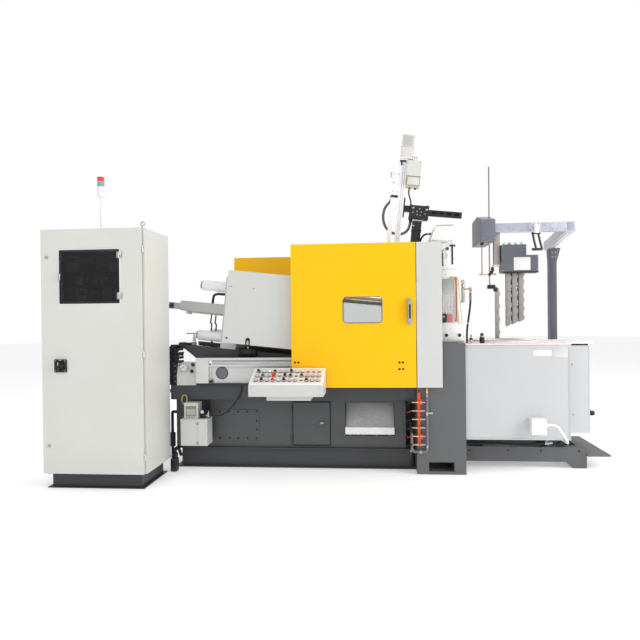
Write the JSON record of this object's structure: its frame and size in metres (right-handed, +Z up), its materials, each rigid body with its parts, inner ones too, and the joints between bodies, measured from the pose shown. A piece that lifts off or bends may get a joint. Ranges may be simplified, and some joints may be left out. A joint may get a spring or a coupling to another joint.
{
  "type": "hot chamber die casting machine",
  "caption": "Hot chamber die casting machine with inclined toggle clamp, sliding safety door, control cabinet, operator console, sprayer mast and melting furnace.",
  "frame": {"origin": "on the floor, on the machine's centre line, under the middle of the column", "axes": "+X from the control cabinet to the furnace, +Y away from the operator's side, +Z up"},
  "size_m": [4.318, 1.569, 2.7606],
  "materials": {
    "cabinet_paint": "textured powder coat",
    "black_plastic": "moulded",
    "tinted_glass": "tinted",
    "galvanised": "spangled",
    "dark_paint": "semi-gloss",
    "white_plastic": "moulded",
    "zinc_steel": "zinc plated",
    "bright_sheet": "scuffed",
    "light_paint": "satin",
    "ground_steel": "ground",
    "white_paint": "satin",
    "black_paint": "satin",
    "aluminium": "anodised",
    "grey_paint": "satin",
    "yellow_paint": "satin",
    "clear_glass": "clear",
    "red_paint": "satin",
    "brass": "turned",
    "grey_rubber": "matt",
    "copper": "drawn",
    "insulation_board": "pressed board",
    "cast_iron": "as cast",
    "dark_steel": "oiled",
    "black_rubber": "matt"
  },
  "bodies": {
    "machine": {"control_cabinet": "cabinet_paint", "mounting_plate": "galvanised", "cabinet_plinth": "dark_paint", "stack_light": "white_plastic", "lifting_eyes": "zinc_steel", "bed_plinth": "dark_paint", "bed_deck": "dark_paint", "bed_front_panel": "dark_paint", "bed_panels": "dark_paint", "discharge_chute": "bright_sheet", "column": "dark_paint", "fixed_platen": "light_paint", "moving_platen": "light_paint", "rear_platen": "light_paint", "tie_bars": "ground_steel", "tie_bar_caps": "white_paint", "toggle_links": "light_paint", "clamp_cylinder": "light_paint", "cylinder_guard": "light_paint", "toggle_covers": "light_paint", "sprayer_post": "black_paint", "sprayer_mast": "aluminium", "sprayer_junction_box": "grey_paint", "door_track": "light_paint", "fixed_guard": "light_paint", "rear_guard": "yellow_paint", "console": "light_paint", "console_controls": "black_plastic", "gauge_panel": "light_paint", "lubricator": "light_paint", "valve_stack": "black_paint", "water_manifold": "red_paint", "water_taps": "brass", "water_line": "grey_rubber", "injection_frame": "grey_paint", "shot_body": "white_paint", "injection_cover": "white_paint", "injection_pipes": "copper", "furnace_body": "white_paint", "furnace_lid": "insulation_board", "melting_pot": "cast_iron", "furnace_trolley": "dark_paint", "furnace_wheels": "dark_steel", "step_plate": "dark_paint", "terminal_box": "white_plastic", "feeder_frame": "dark_paint", "heater_box": "grey_paint", "heater_elements": "zinc_steel", "feeder_box": "white_paint", "feeder_hood": "galvanised", "black_hoses": "black_rubber", "sprayer_loop": "grey_rubber"},
    "cabinet_leaf": {"cabinet_door": "cabinet_paint", "door_fittings": "black_plastic", "hatch_pane": "tinted_glass"},
    "sliding_door": {"safety_door": "yellow_paint", "safety_door_pane": "clear_glass", "safety_door_handle": "black_plastic"},
    "bed_door": {"access_door": "dark_paint"}
  },
  "joints": [
    {"name": "cabinet_hinge", "type": "hinge", "parent": "machine", "child": "cabinet_leaf", "pos_m": [-2.188, -0.965, 1], "axis": [0, 0, 1], "range_deg": [0, 120]},
    {"name": "safety_door_slide", "type": "slide", "parent": "machine", "child": "sliding_door", "axis": [-1, 0, 0], "range_m": [0, 0.75]},
    {"name": "bed_door_hinge", "type": "hinge", "parent": "machine", "child": "bed_door", "pos_m": [-1.205, -0.266, 0.36], "axis": [0, 0, -1], "range_deg": [0, 110]}
  ]
}
